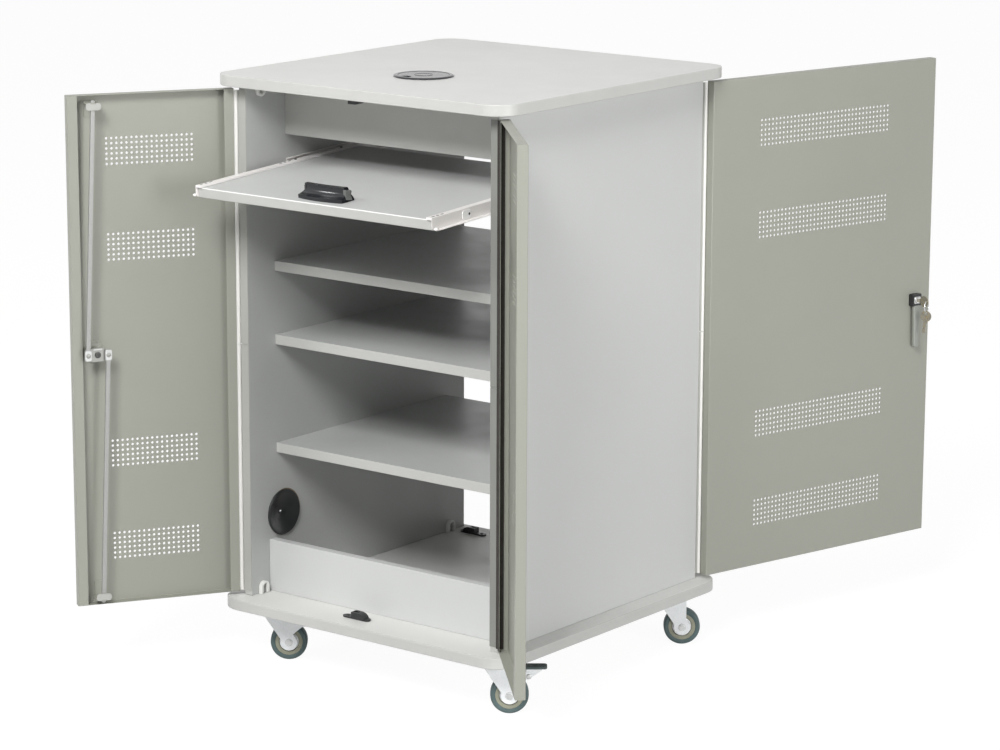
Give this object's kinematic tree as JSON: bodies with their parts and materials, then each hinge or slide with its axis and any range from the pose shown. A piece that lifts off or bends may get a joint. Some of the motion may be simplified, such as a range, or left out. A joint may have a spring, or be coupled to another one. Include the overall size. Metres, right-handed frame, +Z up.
{
  "type": "multimedia cart",
  "caption": "Wheeled cabinet for audio-visual equipment with perforated steel doors front and rear, inner shelves, a pull-out keyboard shelf, rod locks and swivel casters.",
  "frame": {"origin": "on the floor under the middle of the cabinet between its side panels", "axes": "+X to the right seen from the front, -Y out of the front, +Z up"},
  "size_m": [1.0701, 1.5539, 1.1905],
  "materials": {
    "white_board": "laminate",
    "grey_board": "laminate",
    "door_enamel": "satin enamel",
    "white_enamel": "satin epoxy",
    "white_plastic": "moulded",
    "black_plastic": "moulded",
    "chrome_fitting": "polished",
    "key_metal": "nickel plated",
    "zinc": "zinc plated",
    "grey_rubber": "matte",
    "pedal_plastic": "moulded"
  },
  "bodies": {
    "cabinet": {"tabletop": "white_board", "base_board": "white_board", "left_side_panel": "grey_board", "right_side_panel": "grey_board", "upper_rail": "grey_board", "kick_panel": "grey_board", "shelf_1": "grey_board", "shelf_2": "grey_board", "shelf_3": "grey_board", "tabletop_grommet": "black_plastic", "side_grommet": "black_plastic", "front_left_hinge": "white_enamel", "front_right_hinge": "white_enamel", "rear_right_hinge": "white_enamel", "front_left_lower_connector": "white_plastic", "front_left_upper_connector": "white_plastic", "rear_left_lower_connector": "white_plastic", "front_right_lower_connector": "white_plastic", "front_right_upper_connector": "white_plastic", "rear_right_lower_connector": "white_plastic", "front_lower_keeper": "black_plastic", "front_upper_keeper": "black_plastic", "rear_lower_keeper": "black_plastic", "rear_upper_keeper": "black_plastic", "left_cabinet_slide": "white_enamel", "right_cabinet_slide": "white_enamel", "front_left_caster_plate": "zinc", "front_right_caster_plate": "zinc", "rear_left_caster_plate": "zinc", "rear_right_caster_plate": "zinc"},
    "grommet_cap": {"grommet_cap": "black_plastic"},
    "keyboard_tray": {"keyboard_shelf": "grey_board", "keyboard_shelf_pull": "black_plastic", "left_drawer_slide": "white_enamel", "right_drawer_slide": "white_enamel"},
    "left_front_door": {"left_front_door": "door_enamel", "left_door_upper_guide": "door_enamel", "left_door_lower_guide": "door_enamel"},
    "right_front_door": {"right_front_door": "door_enamel"},
    "rear_door": {"rear_door": "door_enamel", "rear_door_upper_guide": "door_enamel", "rear_door_lower_guide": "door_enamel"},
    "left_door_lock": {"left_door_lever": "chrome_fitting"},
    "left_door_upper_rod": {"left_door_upper_rod": "zinc"},
    "left_door_lower_rod": {"left_door_lower_rod": "zinc"},
    "rear_door_lock": {"rear_door_lever": "chrome_fitting"},
    "rear_door_upper_rod": {"rear_door_upper_rod": "zinc"},
    "rear_door_lower_rod": {"rear_door_lower_rod": "zinc"},
    "rear_door_key": {"rear_door_key": "key_metal"},
    "front_left_fork": {"front_left_fork": "zinc"},
    "front_left_wheel": {"front_left_wheel": "grey_rubber"},
    "front_left_brake_pedal": {"front_left_brake_pedal": "pedal_plastic"},
    "front_right_fork": {"front_right_fork": "zinc"},
    "front_right_wheel": {"front_right_wheel": "grey_rubber"},
    "front_right_brake_pedal": {"front_right_brake_pedal": "pedal_plastic"},
    "rear_left_fork": {"rear_left_fork": "zinc"},
    "rear_left_wheel": {"rear_left_wheel": "grey_rubber"},
    "rear_right_fork": {"rear_right_fork": "zinc"},
    "rear_right_wheel": {"rear_right_wheel": "grey_rubber"}
  },
  "joints": [
    {"name": "grommet_cap_turn", "type": "hinge", "parent": "cabinet", "child": "grommet_cap", "pos_m": [-0.013, -0.1385, 1.189], "axis": [0, 0, 1], "continuous": true},
    {"name": "keyboard_slide", "type": "slide", "parent": "cabinet", "child": "keyboard_tray", "axis": [0, 0.9986, 0.0523], "range_m": [0, 0.268]},
    {"name": "left_door_hinge", "type": "hinge", "parent": "cabinet", "child": "left_front_door", "pos_m": [-0.324, -0.3345, 0.65], "axis": [0, 0, -1], "range_deg": [-42, 48]},
    {"name": "right_door_hinge", "type": "hinge", "parent": "cabinet", "child": "right_front_door", "pos_m": [0.324, -0.3345, 0.65], "axis": [0, 0, 1], "range_deg": [-53.5, 36.5]},
    {"name": "rear_door_hinge", "type": "hinge", "parent": "cabinet", "child": "rear_door", "pos_m": [0.324, 0.3345, 0.65], "axis": [0, 0, -1], "range_deg": [-104.3, 65.7]},
    {"name": "left_door_lock_turn", "type": "hinge", "parent": "left_front_door", "child": "left_door_lock", "pos_m": [-0.47662, -0.57874, 0.65], "axis": [-0.848, 0.5299, 0], "range_deg": [0, 45]},
    {"name": "left_door_upper_rod_pivot", "type": "hinge", "parent": "left_door_lock", "child": "left_door_upper_rod", "pos_m": [-0.48722, -0.5957, 0.65], "axis": [-0.848, 0.5299, 0], "range_deg": [-46.5, 0]},
    {"name": "left_door_lower_rod_pivot", "type": "hinge", "parent": "left_door_lock", "child": "left_door_lower_rod", "pos_m": [-0.46602, -0.56178, 0.65], "axis": [-0.848, 0.5299, 0], "range_deg": [-46.5, 0]},
    {"name": "rear_door_lock_turn", "type": "hinge", "parent": "rear_door", "child": "rear_door_lock", "pos_m": [0.46553, 0.88975, 0.65], "axis": [0.969, -0.247, 0], "range_deg": [0, 45]},
    {"name": "rear_door_upper_rod_pivot", "type": "hinge", "parent": "rear_door_lock", "child": "rear_door_upper_rod", "pos_m": [0.47047, 0.90913, 0.65], "axis": [0.969, -0.247, 0], "range_deg": [-46.5, 0]},
    {"name": "rear_door_lower_rod_pivot", "type": "hinge", "parent": "rear_door_lock", "child": "rear_door_lower_rod", "pos_m": [0.46059, 0.87037, 0.65], "axis": [0.969, -0.247, 0], "range_deg": [-46.5, 0]},
    {"name": "rear_door_key_turn", "type": "hinge", "parent": "rear_door_lock", "child": "rear_door_key", "pos_m": [0.46553, 0.88975, 0.65], "axis": [0.969, -0.247, 0], "range_deg": [0, 90]},
    {"name": "front_left_swivel", "type": "hinge", "parent": "cabinet", "child": "front_left_fork", "pos_m": [-0.28, -0.289, 0.1], "axis": [0, 0, 1], "continuous": true},
    {"name": "front_left_wheel_spin", "type": "hinge", "parent": "front_left_fork", "child": "front_left_wheel", "pos_m": [-0.25626, -0.27066, 0.03718], "axis": [-0.6112, 0.7915, 0], "continuous": true},
    {"name": "front_left_brake_turn", "type": "hinge", "parent": "front_left_fork", "child": "front_left_brake_pedal", "pos_m": [-0.22697, -0.24805, 0.07618], "axis": [-0.6112, 0.7915, 0], "range_deg": [0, 12]},
    {"name": "front_right_swivel", "type": "hinge", "parent": "cabinet", "child": "front_right_fork", "pos_m": [0.28, -0.289, 0.1], "axis": [0, 0, 1], "continuous": true},
    {"name": "front_right_wheel_spin", "type": "hinge", "parent": "front_right_fork", "child": "front_right_wheel", "pos_m": [0.30374, -0.27066, 0.03718], "axis": [-0.6112, 0.7915, 0], "continuous": true},
    {"name": "front_right_brake_turn", "type": "hinge", "parent": "front_right_fork", "child": "front_right_brake_pedal", "pos_m": [0.33303, -0.24805, 0.07618], "axis": [-0.6112, 0.7915, 0], "range_deg": [0, 12]},
    {"name": "rear_left_swivel", "type": "hinge", "parent": "cabinet", "child": "rear_left_fork", "pos_m": [-0.28, 0.289, 0.1], "axis": [0, 0, 1], "continuous": true},
    {"name": "rear_left_wheel_spin", "type": "hinge", "parent": "rear_left_fork", "child": "rear_left_wheel", "pos_m": [-0.25626, 0.30734, 0.03718], "axis": [-0.6112, 0.7915, 0], "continuous": true},
    {"name": "rear_right_swivel", "type": "hinge", "parent": "cabinet", "child": "rear_right_fork", "pos_m": [0.28, 0.289, 0.1], "axis": [0, 0, 1], "continuous": true},
    {"name": "rear_right_wheel_spin", "type": "hinge", "parent": "rear_right_fork", "child": "rear_right_wheel", "pos_m": [0.30374, 0.30734, 0.03718], "axis": [-0.6112, 0.7915, 0], "continuous": true}
  ],
  "couplings": [
    {"joint": "left_door_upper_rod_pivot", "follows": "left_door_lock_turn", "ratio": -1.014},
    {"joint": "left_door_lower_rod_pivot", "follows": "left_door_lock_turn", "ratio": -1.014},
    {"joint": "rear_door_upper_rod_pivot", "follows": "rear_door_lock_turn", "ratio": -1.014},
    {"joint": "rear_door_lower_rod_pivot", "follows": "rear_door_lock_turn", "ratio": -1.014}
  ]
}
